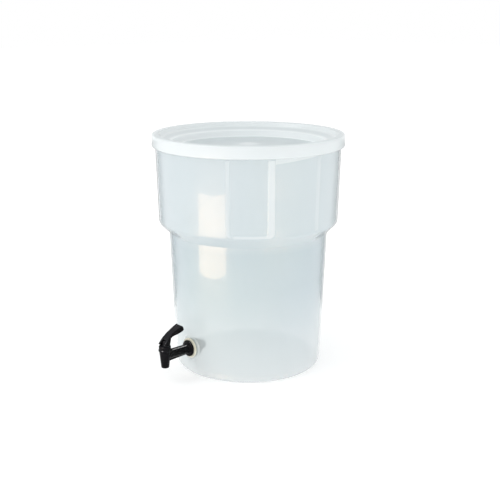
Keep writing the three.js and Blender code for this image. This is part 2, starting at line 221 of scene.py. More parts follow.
def black_plastic():
    material, tree, shader = principled("black_plastic", Specular_IOR_Level=0.07, IOR=1.5)
    clouds = noise(tree, 60, 3)
    colour = two_tone(tree, clouds, (0.002, 0.002, 0.0025), (0.005, 0.005, 0.006))
    tree.links.new(colour, shader.inputs["Base Color"])
    tree.links.new(spread(tree, noise(tree, 220, 5), 0.14, 0.24), shader.inputs["Roughness"])
    grain = bump(tree, noise(tree, 3500, 2), 0.1, 0.00006)
    tree.links.new(bump(tree, noise(tree, 120, 2), 0.1, 0.0003, grain), shader.inputs["Normal"])
    return material


def rubber(name, first, second, roughness):
    material, tree, shader = principled(name, IOR=1.45)
    tree.links.new(two_tone(tree, noise(tree, 150, 4), first, second), shader.inputs["Base Color"])
    grain = spread(tree, noise(tree, 400, 3), roughness - 0.08, roughness + 0.08)
    tree.links.new(grain, shader.inputs["Roughness"])
    tree.links.new(bump(tree, noise(tree, 2500, 3), 0.2, 0.0001), shader.inputs["Normal"])
    return material


def steel():
    material, tree, shader = principled("steel", Metallic=1.0)
    clouds = noise(tree, 200, 3, (1, 1, 8))
    colour = two_tone(tree, clouds, (0.50, 0.51, 0.52), (0.66, 0.67, 0.68))
    tree.links.new(colour, shader.inputs["Base Color"])
    tree.links.new(spread(tree, noise(tree, 500, 3), 0.18, 0.34), shader.inputs["Roughness"])
    tree.links.new(bump(tree, noise(tree, 2500, 2, (1, 1, 12)), 0.1, 0.00005), shader.inputs["Normal"])
    return material


CLEAR = clear_plastic()
LID = lid_plastic()
BLACK = black_plastic()
CREAM = rubber("cream_rubber", (0.72, 0.69, 0.55), (0.82, 0.80, 0.68), 0.5)
SILICONE = rubber("silicone", (0.74, 0.77, 0.78), (0.84, 0.86, 0.87), 0.42)
STEEL = steel()


# ---------------------------------------------------------------------------
# Mesh helpers
# ---------------------------------------------------------------------------
def rounded(points, steps=5):
    """The closed outline with each corner (x, y, radius) turned into an arc; plain (x, y) stays sharp."""
    outline = []
    count = len(points)
    for i, point in enumerate(points):
        here = Vector(point[:2])
        radius = point[2] if len(point) > 2 else 0
        if radius <= 0:
            outline.append(tuple(here))
            continue
        to_last = Vector(points[i - 1][:2]) - here
        to_next = Vector(points[(i + 1) % count][:2]) - here
        half = to_last.angle(to_next) / 2
        reach = min(radius / math.tan(half), 0.48 * to_last.length, 0.48 * to_next.length)
        radius = reach * math.tan(half)
        start = here + to_last.normalized() * reach
        end = here + to_next.normalized() * reach
        centre = here + (to_last.normalized() + to_next.normalized()).normalized() * (radius / math.sin(half))
        first, last = start - centre, end - centre
        sweep = first.angle_signed(last)
        for k in range(steps + 1):
            spoke = first.copy()
            spoke.rotate(Matrix.Rotation(-sweep * k / steps, 2))
            outline.append(tuple(centre + spoke))
    return outline


def refined(outline, longest):
    """The closed outline with no side longer than that."""
    result = []
    for i, here in enumerate(outline):
        there = outline[(i + 1) % len(outline)]
        parts = max(1, math.ceil(math.dist(here, there) / longest))
        on_axis = here[0] == 0 and there[0] == 0
        for k in range(1 if on_axis else parts):
            t = k / parts
            result.append((here[0] + (there[0] - here[0]) * t, here[1] + (there[1] - here[1]) * t))
    return result


def mesh_object(name, bm, material, smooth_angle=35):
    """A linked object from the bmesh: welded, facing out and smooth except at real edges."""
    bmesh.ops.remove_doubles(bm, verts=bm.verts, dist=1e-6)
    bmesh.ops.dissolve_degenerate(bm, edges=bm.edges, dist=1e-7)
    bmesh.ops.recalc_face_normals(bm, faces=bm.faces)
    mesh = bpy.data.meshes.new(name)
    bm.to_mesh(mesh)
    bm.free()
    mesh.polygons.foreach_set("use_smooth", [True] * len(mesh.polygons))
    mesh.set_sharp_from_angle(angle=math.radians(smooth_angle))
    mesh.materials.append(material)
    obj = bpy.data.objects.new(name, mesh)
    bpy.context.scene.collection.objects.link(obj)
    return obj


def spin(outline, columns=96):
    """A closed ring solid in millimetres about Z from an outline of (radius, height)."""
    bm = bmesh.new()
    angles = [2 * math.pi * k / columns for k in range(columns)]
    rings = [[bm.verts.new((r * math.sin(a), -r * math.cos(a), z)) for a in angles] for r, z in outline]
    for i, ring in enumerate(rings):
        after = rings[(i + 1) % len(rings)]
        if outline[i][0] == 0 and outline[(i + 1) % len(rings)][0] == 0:
            continue
        for k in range(columns):
            j = (k + 1) % columns
            bm.faces.new((ring[k], ring[j], after[j], after[k]))
    bmesh.ops.remove_doubles(bm, verts=bm.verts, dist=1e-4)
    return bm


def to_axis(bm):
    """Millimetres about the bucket's axis to metres in the frame."""
    bmesh.ops.transform(bm, matrix=Matrix.Translation((0, AXIS_Y, 0)) @ Matrix.Scale(MM, 4), verts=bm.verts)
    return bm


def to_valve(bm):
    """Millimetres about the valve's vertical axis to metres in the frame."""
    bmesh.ops.transform(bm, matrix=Matrix.Translation((0, VALVE_Y, 0)) @ Matrix.Scale(MM, 4), verts=bm.verts)
    return bm


def to_tap(bm):
    """A piece standing on Z, in millimetres, to one lying outward along the tap from the pad."""
    place = Matrix.Translation((0, AXIS_Y - PAD_OUT * MM, TAP_Z * MM))
    turn = Matrix.Rotation(math.radians(90), 4, "X")
    bmesh.ops.transform(bm, matrix=place @ turn @ Matrix.Scale(MM, 4), verts=bm.verts)
    return bm


def slab(outline, low, high, bevel=0.0, segments=3):
    """An upright plate in millimetres with its outline in (x, y), from low to high, edges rounded."""
    bm = bmesh.new()
    floor = bm.faces.new([bm.verts.new((x, y, low)) for x, y in outline])
    raised = bmesh.ops.extrude_face_region(bm, geom=[floor])["geom"]
    moved = [v for v in raised if isinstance(v, bmesh.types.BMVert)]
    bmesh.ops.translate(bm, vec=(0, 0, high - low), verts=moved)
    bmesh.ops.recalc_face_normals(bm, faces=bm.faces)
    if bevel:
        rims = [e for e in bm.edges if e.verts[0].co.z == e.verts[1].co.z]
        bmesh.ops.bevel(bm, geom=rims, offset=bevel, segments=segments, profile=0.5, affect="EDGES")
    return bm


def across(bm):
    """A slab drawn in (u, height) and standing along X, moved to the tap's frame in metres.
    u is the way outward from the pad."""
    turn = Matrix(((0, 0, 1, 0), (-1, 0, 0, 0), (0, 1, 0, 0), (0, 0, 0, 1)))
    place = Matrix.Translation((0, AXIS_Y - PAD_OUT * MM, 0))
    bmesh.ops.transform(bm, matrix=place @ turn @ Matrix.Scale(MM, 4), verts=bm.verts)
    return bm


def cut_and_join(base, others):
    """Applies ("UNION" or "DIFFERENCE", bmesh) pairs to the base bmesh, exactly, and gives one bmesh."""
    def temporary(bm, name):
        bmesh.ops.recalc_face_normals(bm, faces=bm.faces)
        mesh = bpy.data.meshes.new(name)
        bm.to_mesh(mesh)
        bm.free()
        obj = bpy.data.objects.new(name, mesh)
        bpy.context.scene.collection.objects.link(obj)
        return obj

    body = temporary(base, "cut_base")
    tools = []
    for operation, bm in others:
        tool = temporary(bm, "cut_tool")
        tools.append(tool)
        modifier = body.modifiers.new("cut", "BOOLEAN")
        modifier.operation = operation
        modifier.solver = "EXACT"
        modifier.object = tool
    graph = bpy.context.evaluated_depsgraph_get()
    result = bmesh.new()
    result.from_mesh(body.evaluated_get(graph).to_mesh())
    for obj in [body, *tools]:
        bpy.data.objects.remove(obj)
    return result


def softened(obj, voxel, rounds):
    """Melts an object's sharp inner and outer corners into small moulded fillets."""
    remesh = obj.modifiers.new("melt", "REMESH")
    remesh.mode = "VOXEL"
    remesh.voxel_size = voxel * MM
    smooth = obj.modifiers.new("smooth", "SMOOTH")
    smooth.factor = 0.5
    smooth.iterations = rounds
    graph = bpy.context.evaluated_depsgraph_get()
    mesh = bpy.data.meshes.new_from_object(obj.evaluated_get(graph))
    mesh.name = obj.name
    mesh.polygons.foreach_set("use_smooth", [True] * len(mesh.polygons))
    obj.modifiers.clear()
    obj.data = mesh
    return obj


def paint(obj, name, value_at):
    """A value at each point of the mesh for its material, from (degrees from the tap, radius, height)."""
    values = []
    for vertex in obj.data.vertices:
        x, y, z = vertex.co.x / MM, (vertex.co.y - AXIS_Y) / MM, vertex.co.z / MM
        values.append(value_at(math.degrees(math.atan2(x, -y)), math.hypot(x, y), z))
    obj.data.attributes.new(name, "FLOAT", "POINT").data.foreach_set("value", values)


def finish_piece(obj, body, slot, *nodes):
    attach(obj, body)
    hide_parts(*nodes)
    return obj


def step_between(value, low, high):
    """0 up to low and 1 from high, smooth between them; low may be the larger."""
    t = min(1, max(0, (value - low) / (high - low)))
    return t * t * (3 - 2 * t)


# ---------------------------------------------------------------------------
# Bucket: one moulding, with ribs and a label frame on its upper band and a
# flat pad where the tap goes through.
# ---------------------------------------------------------------------------
def wall_outline():
    """(outer outline upward from the base's middle, inner outline downward to the floor's middle)."""
    shoulder = BAND_R - NECK_R
    outer = [
        (0, BASE_Z), (FOOT_IN - 3, BASE_Z, 2), (FOOT_IN, 0, 1), (FOOT_OUT, 0, 1.2),
        (BASE_R - 1.2, 3.6, 6), (BASE_R, BASE_Z + 2, 6), (NECK_R, NECK_Z, 1.2),
        (BAND_R, NECK_Z + shoulder, 8), (RIM_R, RIM_Z, 1.2),
    ]
    inner_base_r = BASE_R + (NECK_R - BASE_R) * (FLOOR_Z - BASE_Z) / (NECK_Z - BASE_Z) - WALL
    inner = [
        (RIM_R - WALL, RIM_Z, 1.2), (BAND_R - WALL, NECK_Z + shoulder + 1, 6),
        (NECK_R - WALL, NECK_Z + 1, 3), (inner_base_r, FLOOR_Z, 6), (0, FLOOR_Z),
    ]
    return outer, inner


def angle_from(degrees, centre):
    return (degrees - centre + 180) % 360 - 180


def box_distance(x, z, half_x, half_z, corner):
    """How far outside a rounded rectangle about the origin the point is; negative inside."""
    dx, dz = abs(x) - (half_x - corner), abs(z) - (half_z - corner)
    return math.hypot(max(dx, 0), max(dz, 0)) + min(max(dx, dz), 0) - corner


def frame_share(degrees, z, radius):
    """1 on the label frame's two upright bars and the level bar under them, 0 off them."""
    high = SKIRT_Z + 20
    x = math.radians(angle_from(degrees, FRAME_ANGLE)) * radius
    outer_half = (high - FRAME_LOW_Z) / 2
    outside = box_distance(x, z - (high + FRAME_LOW_Z) / 2, FRAME_WIDTH / 2, outer_half, FRAME_CORNER)
    hole_low = FRAME_LOW_Z + FRAME_FOOT
    hole_x = (FRAME_SLIM - FRAME_WIDE) / 2
    hole_width = FRAME_WIDTH - FRAME_SLIM - FRAME_WIDE
    inside = box_distance(
        x - hole_x, z - (high + hole_low) / 2, hole_width / 2, (high - hole_low) / 2, FRAME_CORNER / 2)
    top = 1 - step_between(z, SKIRT_Z - 3, SKIRT_Z - 1.5)
    return step_between(inside, -0.6, 0.6) * (1 - step_between(outside, -0.6, 0.6)) * top


def rib_share(degrees, z, radius):
    """1 on the band's upright ribs and 0 off them."""
    spacing = 360 / RIB_COUNT
    off = math.radians(abs((degrees - RIB_PHASE + spacing / 2) % spacing - spacing / 2)) * radius
    ends = step_between(z, BAND_Z, BAND_Z + 2) * (1 - step_between(z, SKIRT_Z - 3, SKIRT_Z - 1))
    return (1 - step_between(off, RIB_WIDTH / 2 - 1.4, RIB_WIDTH / 2)) * ends


def relief(degrees, z, radius):
    """How far the ribs and the label frame stand out of the band there."""
    if z < FRAME_LOW_Z - 1 or z > SKIRT_Z:
        return 0.0
    return max(RIB_PROUD * rib_share(degrees, z, radius), FRAME_PROUD * frame_share(degrees, z, radius))


def column_angles():
    """Angles round the bucket in degrees, closer together at the ribs' edges, the frame and the tap."""
    angles = {round(k * 1.5, 4) for k in range(240)}
    degree = math.degrees(1 / BAND_R)
    for i in range(RIB_COUNT):
        for edge in (-RIB_WIDTH / 2, RIB_WIDTH / 2):
            for off in (-1.6, -0.8, 0, 0.8):
                centre = RIB_PHASE + i * 360 / RIB_COUNT
                angles.add(round((centre + (edge + off) * degree) % 360, 4))
    for k in range(-44, 45):
        angles.add(round((FRAME_ANGLE + k * degree) % 360, 4))
    pad_degree = math.degrees(1 / BASE_R)
    for k in range(-23, 24):
        angles.add(round((k * pad_degree) % 360, 4))
    ordered = sorted(angles)
    return [a for i, a in enumerate(ordered) if i == 0 or a - ordered[i - 1] > 0.12]


def refine_heights(outline, stretches, longest):
    """Splits the outline's sides more finely where they pass the given height ranges."""
    result = []
    for here, there in zip(outline, outline[1:]):
        cuts = [0.0]
        length = math.dist(here, there)
        at = 0.0
        while at < length:
            z = here[1] + (there[1] - here[1]) * at / length
            step = longest
            for low, high, fine in stretches:
                if low <= z <= high:
                    step = min(step, fine)
            at += step
            if at < length - step / 2:
                cuts.append(at / length)
        result += [(here[0] + (there[0] - here[0]) * t, here[1] + (there[1] - here[1]) * t) for t in cuts]
    result.append(outline[-1])
    return result


def pad_share(x, z):
    return 1 - step_between(math.hypot(x, z - TAP_Z), PAD_R - 0.7, PAD_R + 0.7)


def bucket_mesh():
    outer, inner = wall_outline()
    outline = rounded(outer + inner, 6)
    top = max(range(len(outline)), key=lambda i: (outline[i][1], outline[i][0]))
    fine = [(BAND_Z - 2, BAND_Z + 16, 1.0), (BAND_Z, SKIRT_Z, 3.0), (SKIRT_Z - 14, SKIRT_Z, 1.0),
            (TAP_Z - PAD_R - 3, TAP_Z + PAD_R + 3, 1.0)]
    outside = refine_heights(outline[:top + 1], fine, 12)
    inside = refine_heights(outline[top:], fine[3:], 12)
    degrees = column_angles()
    bm = bmesh.new()
    rings = []
    for part, is_outer in ((outside, True), (inside[1:], False)):
        for r, z in part:
            ring = []
            for d in degrees:
                radius = r + (relief(d, z, r) if is_outer and r > BAND_R - 2 else 0)
                a = math.radians(d)
                x, y = radius * math.sin(a), -radius * math.cos(a)
                if y < 0 and abs(x) < PAD_R + 3 and abs(z - TAP_Z) < PAD_R + 3 and r > PAD_IN - 3:
                    share = pad_share(x, z)
                    y += (-(PAD_OUT if is_outer else PAD_IN) - y) * share
                ring.append(bm.verts.new((x, y, z)))
            rings.append(ring)
    for ring, after in zip(rings, rings[1:]):
        for k in range(len(degrees)):
            j = (k + 1) % len(degrees)
            bm.faces.new((ring[k], ring[j], after[j], after[k]))
    bmesh.ops.remove_doubles(bm, verts=bm.verts, dist=1e-4)
    return bm


def bucket_whitening_and_painted_light(degrees, radius, z):
    """0 for the clear plastic's own tint, rising to 1 where it is painted white. The raised frame and
    rib are whiter plastic with a painted highlight on them; the band, the lower body, the inside floor, the
    shoulder and the band's inner corner are painted lighter, as painted light. The amounts are chosen for
    brightness and don't follow the wall's thickness."""
    # The raised frame's bars are whiter plastic and also carry a painted highlight; the bar at the lower
    # angles is painted less white, as painted shade.
    frame_bar = 0
    if radius > RIM_R - 6 and z > FRAME_LOW_Z - 1:
        painted_shade_side = step_between(angle_from(degrees, FRAME_ANGLE), -9, -11)
        frame_bar = 0.85 * frame_share(degrees, z, radius) * (1 - 0.42 * painted_shade_side)
    # The raised rib is whiter plastic with a painted highlight on it.
    rib = 0.3 * rib_share(degrees, z, radius) if radius > RIM_R - 6 and z > BAND_Z else 0
    rim = 0.8 * step_between(z, SKIRT_Z - 1, SKIRT_Z + 4)
    # Painted light: the lower body and the upper band are painted lighter for brightness; the wall is the
    # same there.
    heel = 0.85 * (1 - step_between(z, 5, 19))
    low = 0.76 * (1 - step_between(z, 10, 165))
    band = 0.33 * step_between(z, NECK_Z + 4, BAND_Z + 4)
    # Painted light: the shoulder, which faces down into shade, is painted lighter against it.
    shoulder = 0.3 * step_between(z, NECK_Z - 6, NECK_Z + 4) * (1 - step_between(z, BAND_Z - 2, BAND_Z + 6))
    # Painted light: the inside floor is painted lighter, and its ring at the wall's foot is painted as a
    # bright line, for light falling on them from above.
    floor = 0.92 if radius < BASE_R - 6 and z < FLOOR_Z + 1 else 0
    if radius < BASE_R - 1.5 and FLOOR_Z < z < FLOOR_Z + 7:
        floor = 1
    # Painted light: the ring inside the band's lower corner is painted as a bright line, for light falling on
    # it from above.
    corner = 0.6 if radius < BAND_R - 1 and BAND_Z < z < BAND_Z + 5 else 0
    skirt_strip = under_skirt_strip(degrees, radius, z)
    plain = 1 - (1 - band) * (1 - rib)
    return max(plain, frame_bar, rim, heel, low, shoulder, floor, corner, skirt_strip)


def under_skirt_strip(degrees, radius, z):
    """1 on the whiter strip under the skirt between the frame's wide bar and the rib, which tapers away.
    It is colour only: nothing stands out of the wall there."""
    start = FRAME_ANGLE + math.degrees(FRAME_WIDTH / 2 / RIM_R)
    along = (degrees - start) / (RIB_PHASE - start)
    if radius < RIM_R - 6 or not 0 <= along <= 1:
        return 0
    low = SKIRT_Z - 9 + 8 * along
    return step_between(z, low - 1, low + 1)


def make_bucket():
    hole = to_tap(spin(refined([(0, -12), (HOLE_R, -12), (HOLE_R, 12), (0, 12)], 30), 64))
    bm = cut_and_join(to_axis(bucket_mesh()), [("DIFFERENCE", hole)])
    obj = mesh_object("bucket_shell", bm, CLEAR)
    # Paints the whitening onto the bucket's points, the painted light and painted highlights included.
    paint(obj, "whiteness", bucket_whitening_and_painted_light)
    finish_piece(obj, "vessel", "clear_plastic", "bucket")


# ---------------------------------------------------------------------------
# Lid: a stepped dish with a snap skirt, and the seal in its channel.
# ---------------------------------------------------------------------------
def lid_whitening_and_painted_light(degrees, radius, z):
    """0 on the greyer panel in the middle, 1 on the white skirt, and between them on the ledge and crest.
    The whiter patch round the centre boss is a painted highlight, the ledge's darkening is painted shade
    and the crest top's darkening is a painted dark reflection.
    """
    panel = 1 - step_between(radius, PLUG_R - 3, PLUG_R - 0.8)
    # Painted highlight: the middle of the panel round the boss is whitened.
    painted_gate_highlight = 0.4 * (1 - step_between(radius, 8, 24))
    # Painted shade: the ledge is darkened.
    ledge = step_between(radius, PLUG_R + 5, PLUG_R + 8) * (1 - step_between(radius, 140, 144))
    # Painted dark reflection: the crest's top is darkened.
    crest = step_between(z, HEIGHT - 1.6, HEIGHT - 0.6) * (1 - step_between(radius, LID_R - 2.4, LID_R - 1))
    return max(1 - panel, painted_gate_highlight) * (1 - 0.55 * ledge) * (1 - 0.6 * crest)


def make_lid():
    boss_r, boss_h = 11.0, 0.9
    crown = [(PLUG_R * t, PLUG_Z + DOME * (1 - t * t)) for t in [k / 24 for k in range(24)]]
    top = [(r, z + boss_h * (1 - step_between(r, boss_r - 1.5, boss_r + 1.5))) for r, z in crown]
    top += [
        (PLUG_R, PLUG_Z, 1.5), (126, 377, 2.5), (143.2, 383.4, 1.5), (145.3, 388.2, 1.2),
        (147.4, HEIGHT, 1.2), (LID_R, HEIGHT, 3.2), (LID_R, SKIRT_Z, 3.8),
        (RIM_R + 0.6, SKIRT_Z, 0.5), (RIM_R + 0.6, SKIRT_Z + 3, 0.8),
        (LID_R - LID_WALL - 0.4, SKIRT_Z + 6, 1.0), (LID_R - LID_WALL - 0.4, HEIGHT - LID_WALL, 0.8),
        (RIM_R - WALL - 0.9, HEIGHT - LID_WALL, 0.8), (146.8, 383, 0.8), (145, 381.7, 0.8),
        (127.7, 375.4, 1.5), (PLUG_R + 1.6, PLUG_Z - LID_WALL, 1.8),
    ]
    under = [(r, z - LID_WALL) for r, z in reversed(crown)]
    bm = to_axis(spin(refined(rounded(top + under, 5), 6), 288))
    obj = mesh_object("lid_dish", bm, LID)
    # Paints the lid's tone onto its points, with the painted highlight and painted darkening included.
    paint(obj, "whiteness", lid_whitening_and_painted_light)
    finish_piece(obj, "lid", "lid_plastic", "lid")


def make_seal():
    low, high = (corner.z / MM for corner in node_box["lid_seal"])
    outer = (node_box["lid_seal"][1].x - node_box["lid_seal"][0].x) / 2 / MM
    inner = outer - 4.3
    outline = rounded([(inner, low, 0.7), (outer, low, 0.7), (outer, high, 0.7), (inner, high, 0.7)], 4)
    obj = mesh_object("lid_seal_ring", to_axis(spin(outline, 288)), SILICONE)
    finish_piece(obj, "lid", "silicone", "lid_seal")


# ---------------------------------------------------------------------------
# Tap
# ---------------------------------------------------------------------------
BODY_TOP_Z = 55.4
SEAT_Z = 35.0
SPOUT_TOP_R, SPOUT_END_R, SPOUT_END_Z = 9.2, 6.4, 25.5
OUTLET_R, CHAMBER_R = 4.4, 7.2
THREAD_PITCH, THREAD_DEPTH = 1.8, 0.7


def thread_outline(radius, low, high):
    """The outside of a threaded stretch, as (radius, place) points."""
    points = []
    for k in range(int((high - low) / THREAD_PITCH)):
        start = low + k * THREAD_PITCH
        points += [
            (radius - THREAD_DEPTH, start), (radius - THREAD_DEPTH, start + 0.3 * THREAD_PITCH),
            (radius, start + 0.5 * THREAD_PITCH), (radius, start + 0.8 * THREAD_PITCH),
        ]
    return points


def make_tap_body():
    shank = to_tap(spin([
        (0, SHANK_IN), (SHANK_R - THREAD_DEPTH, SHANK_IN),
        *thread_outline(SHANK_R, SHANK_IN + 0.5, 2.5),
        (SHANK_R, 3), (SHANK_R, VALVE_U), (0, VALVE_U),
    ], 64))
    flange = to_tap(spin(rounded([
        (0, 3.3), (13.5, 3.3, 0.6), (13.5, 6.3, 0.9), (11.5, 6.9, 0.5), (SHANK_R + 1.2, 7.2, 0.8),
        (SHANK_R - 0.4, 9.0, 0.4), (0, 9.0),
    ]), 96))
    spout = to_valve(spin(rounded([
        (0, SPOUT_END_Z), (SPOUT_END_R, SPOUT_END_Z, 1.3), (SPOUT_TOP_R, 52.9), (SPOUT_TOP_R, BODY_TOP_Z),
        (0, BODY_TOP_Z),
    ]), 96))
    web = across(slab(
        [(6, 38.5), (9, 37.4), (VALVE_U - 6, 35), (VALVE_U - 6, 48), (6, 48)], -1.5, 1.5, 0.5))
    chamber = to_valve(spin([
        (0, SPOUT_END_Z - 5), (OUTLET_R + 0.4, SPOUT_END_Z - 5), (OUTLET_R, SEAT_Z - 1.2), (OUTLET_R, SEAT_Z),
        (CHAMBER_R - 1.2, SEAT_Z + 3), (CHAMBER_R, SEAT_Z + 6), (CHAMBER_R, BODY_TOP_Z + 5),
        (0, BODY_TOP_Z + 5),
    ], 64))
    bore = to_tap(spin([
        (0, SHANK_IN - 5), (SHANK_BORE_R, SHANK_IN - 5), (SHANK_BORE_R, VALVE_U), (0, VALVE_U)], 48))
    room = to_valve(spin([
        (SPOUT_TOP_R - 0.8, 53.2), (BONNET_R + 3, 53.2), (BONNET_R + 3, 62), (SPOUT_TOP_R - 0.8, 62)], 96))
    bm = cut_and_join(spout, [
        ("UNION", shank), ("UNION", flange), ("UNION", web), ("DIFFERENCE", room),
        ("DIFFERENCE", chamber), ("DIFFERENCE", bore),
    ])
    finish_piece(mesh_object("tap_moulding", bm, BLACK), "vessel", "black_plastic", "tap_body")


def make_bonnet():
    low, high = (corner.z / MM for corner in node_box["tap_bonnet"])
    top = 63.0
    inner = SPOUT_TOP_R - 0.5
    waist = BONNET_R - 0.6
    cap = to_valve(spin(rounded([
        (inner, low + 0.2, 0.2), (BONNET_R, low, 0.6), (BONNET_R, low + 2.6, 0.9), (waist, low + 3.4, 0.4),
        (waist, top, 1.8), (3.9, top, 0.5),
        (3.9, high, 0.5), (3.25, high), (3.25, BODY_TOP_Z + 3.4), (5.2, BODY_TOP_Z + 3.4),
        (5.2, BODY_TOP_Z + 0.3), (inner, BODY_TOP_Z + 0.3),
    ]), 96))
    grooves = []
    for k in range(24):
        a = 2 * math.pi * k / 24
        groove = spin(rounded([(0, low + 4), (0.45, low + 4), (0.45, top - 2.4), (0, top - 2.4)]), 10)
        bmesh.ops.translate(groove, vec=((waist + 0.15) * math.sin(a), (waist + 0.15) * math.cos(a), 0),
                            verts=groove.verts)
        grooves.append(("DIFFERENCE", to_valve(groove)))
    bm = cut_and_join(cap, grooves)
    finish_piece(mesh_object("bonnet_cap", bm, BLACK), "vessel", "black_plastic", "tap_bonnet")


def make_stem():
    low, high = (corner.z / MM for corner in node_box["tap_stem"])
    rod = to_valve(spin(rounded([
        (0, low), (2.3, low, 0.3), (2.3, 45.5, 0.3), (4.6, 46, 0.4), (4.6, 47.6, 0.4), (2.8, 48.2, 0.3),
        (2.8, BODY_TOP_Z + 2, 0.3), (3.2, BODY_TOP_Z + 2.6, 0.3), (3.2, high - 1, 0.8), (2.0, high, 0.6),
        (0, high),
    ]), 64))
    obj = mesh_object("stem_rod", rod, BLACK)
    finish_piece(obj, "stem", "black_plastic", "tap_stem")


def make_seat_cup():
    low, high = (corner.z / MM for corner in node_box["seat_cup"])
    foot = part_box("tap_stem")[0].z / MM
    cup = to_valve(spin(rounded([
        (0, low), (OUTLET_R - 0.6, low, 0.8), (CHAMBER_R - 2.2, low + 2.8, 0.8), (6.3, low + 5.0, 0.8),
        (6.3, high, 0.5), (2.6, high, 0.3), (2.6, foot - 0.3, 0.2), (0, foot - 0.3),
    ]), 64))
    finish_piece(mesh_object("silicone_cup", cup, SILICONE), "stem", "silicone", "seat_cup")


def make_spring():
    low, high = (corner.z / MM for corner in node_box["tap_spring"])
    wire, coil_r, turns = 0.45, 4.1, 4
    sides, per_turn = 10, 40
    bm = bmesh.new()
    rings = []
    total = turns * per_turn
    for k in range(total + 1):
        t = k / total
        a = 2 * math.pi * turns * t
        rise = low + wire + (high - low - 2 * wire) * t
        centre = Vector((coil_r * math.cos(a), coil_r * math.sin(a), rise))
        outward = Vector((math.cos(a), math.sin(a), 0))
        ring = []
        for s in range(sides):
            b = 2 * math.pi * s / sides
            spoke = outward * wire * math.cos(b) + Vector((0, 0, wire * math.sin(b)))
            ring.append(bm.verts.new(centre + spoke))
        rings.append(ring)
    for ring, after in zip(rings, rings[1:]):
        for s in range(sides):
            j = (s + 1) % sides
            bm.faces.new((ring[s], ring[j], after[j], after[s]))
    bm.faces.new(rings[0])
    bm.faces.new(rings[-1])
    obj = mesh_object("return_spring", to_valve(bm), STEEL)
    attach(obj, "vessel")
    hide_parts("tap_spring")
    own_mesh(obj)


def make_pin():
    half = (node_box["lever_pin"][1].x - node_box["lever_pin"][0].x) / 2 / MM
    radius = (node_box["lever_pin"][1].z - node_box["lever_pin"][0].z) / 2 / MM
    bm = spin(rounded([(0, -half), (radius, -half, 0.5), (radius, half, 0.5), (0, half)]), 40)
    place = Matrix.Translation((0, VALVE_Y, PIN_Z * MM)) @ Matrix.Rotation(math.radians(90), 4, "Y")
    bmesh.ops.transform(bm, matrix=place @ Matrix.Scale(MM, 4), verts=bm.verts)
    finish_piece(mesh_object("hinge_pin", bm, BLACK), "stem", "black_plastic", "lever_pin")


EAR_IN, EAR_OUT = 4.2, 8.0
LIFT, CAM_START, CAM_TURN = 2.5, 4.5, math.radians(50)
CAM_RISE = LIFT / CAM_TURN


def cam_edge(steps=16):
    """The ears' lower edge in (u, height) from the pin: it stays on the bonnet as the pin climbs."""
    points = []
    for k in range(steps + 1):
        turn = CAM_TURN * k / steps
        h = CAM_START + CAM_RISE * turn - 0.2
        points.append((
            h * math.sin(turn) + CAM_RISE * math.cos(turn),
            -h * math.cos(turn) + CAM_RISE * math.sin(turn),
        ))
    return points


def make_lever():
    def at_pin(points):
        return [(u + VALVE_U, z + PIN_Z) for u, z in points]

    ear = at_pin([
        (-5.9, 0.6), (-5.3, -3), (-2.5, 0.2 - CAM_START), (CAM_RISE - 0.6, 0.2 - CAM_START), *cam_edge(),
        (5.9, -0.6), (4.2, 1.4), (-0.5, 6.6), (-3, 8.8), (-7.3, 7.1),
    ])
    bridge = at_pin([
        (0.4, 5.8), (-0.5, 6.6), (-8.4, 13.6), (-12.2, 15.8), (-12.2, 9.9), (-7.3, 7.1), (-5.6, 3.6),
        (-3.6, 3.4), (-1.8, 4.6), (-0.2, 5),
    ])
    side = at_pin(rounded([
        (-3, 8.8), (-8.4, 13.6, 30), (-17.6, 18.8, 30), (-30.3, 23.9, 1.5), (-33.1, 17.2, 2), (-32, 15.9, 1),
        (-21.2, 11.6, 30), (-11.7, 9.8, 10), (-7.3, 7.1), (-4.6, 6.4),
    ]))
    plan = rounded([
        (-8.0, -4), (-7.7, 3, 10), (-6.8, 10, 20), (-7.4, 18, 20), (-9.0, 30, 8), (-7.6, 35.5, 3),
        (7.6, 35.5, 3), (9.0, 30, 8), (7.4, 18, 20), (6.8, 10, 20), (7.7, 3, 10), (8.0, -4),
    ])
    keep = slab(plan, PIN_Z, PIN_Z + 40)
    paddle = cut_and_join(across(slab(bridge, -EAR_OUT, EAR_OUT)), [
        ("UNION", across(slab(side, -9, 9))), ("INTERSECT", to_valve(keep))])
    left = across(slab(ear, -EAR_OUT, -EAR_IN))
    right = across(slab(ear, EAR_IN, EAR_OUT))
    hole = spin([(0, -12), (1.8, -12), (1.8, 12), (0, 12)], 40)
    place = Matrix.Translation((0, VALVE_Y, PIN_Z * MM)) @ Matrix.Rotation(math.radians(90), 4, "Y")
    bmesh.ops.transform(hole, matrix=place @ Matrix.Scale(MM, 4), verts=hole.verts)
    bm = cut_and_join(paddle, [("UNION", left), ("UNION", right), ("DIFFERENCE", hole)])
    obj = softened(mesh_object("lever_paddle", bm, BLACK), 0.4, 6)
    finish_piece(obj, "lever", "black_plastic", "tap_lever")


def make_washer(name, node, material, slot):
    low, high = node_box[node]
    radius = (high.x - low.x) / 2 / MM
    u_low = (AXIS_Y - high.y) / MM - PAD_OUT
    u_high = (AXIS_Y - low.y) / MM - PAD_OUT
    inner = SHANK_R + 0.3
    outline = rounded([
        (inner, u_low, 0.3), (radius, u_low, 0.9), (radius, u_high, 0.9), (inner, u_high, 0.3)], 5)
    obj = mesh_object(name, to_tap(spin(outline, 128)), material)
    finish_piece(obj, "vessel", slot, node)


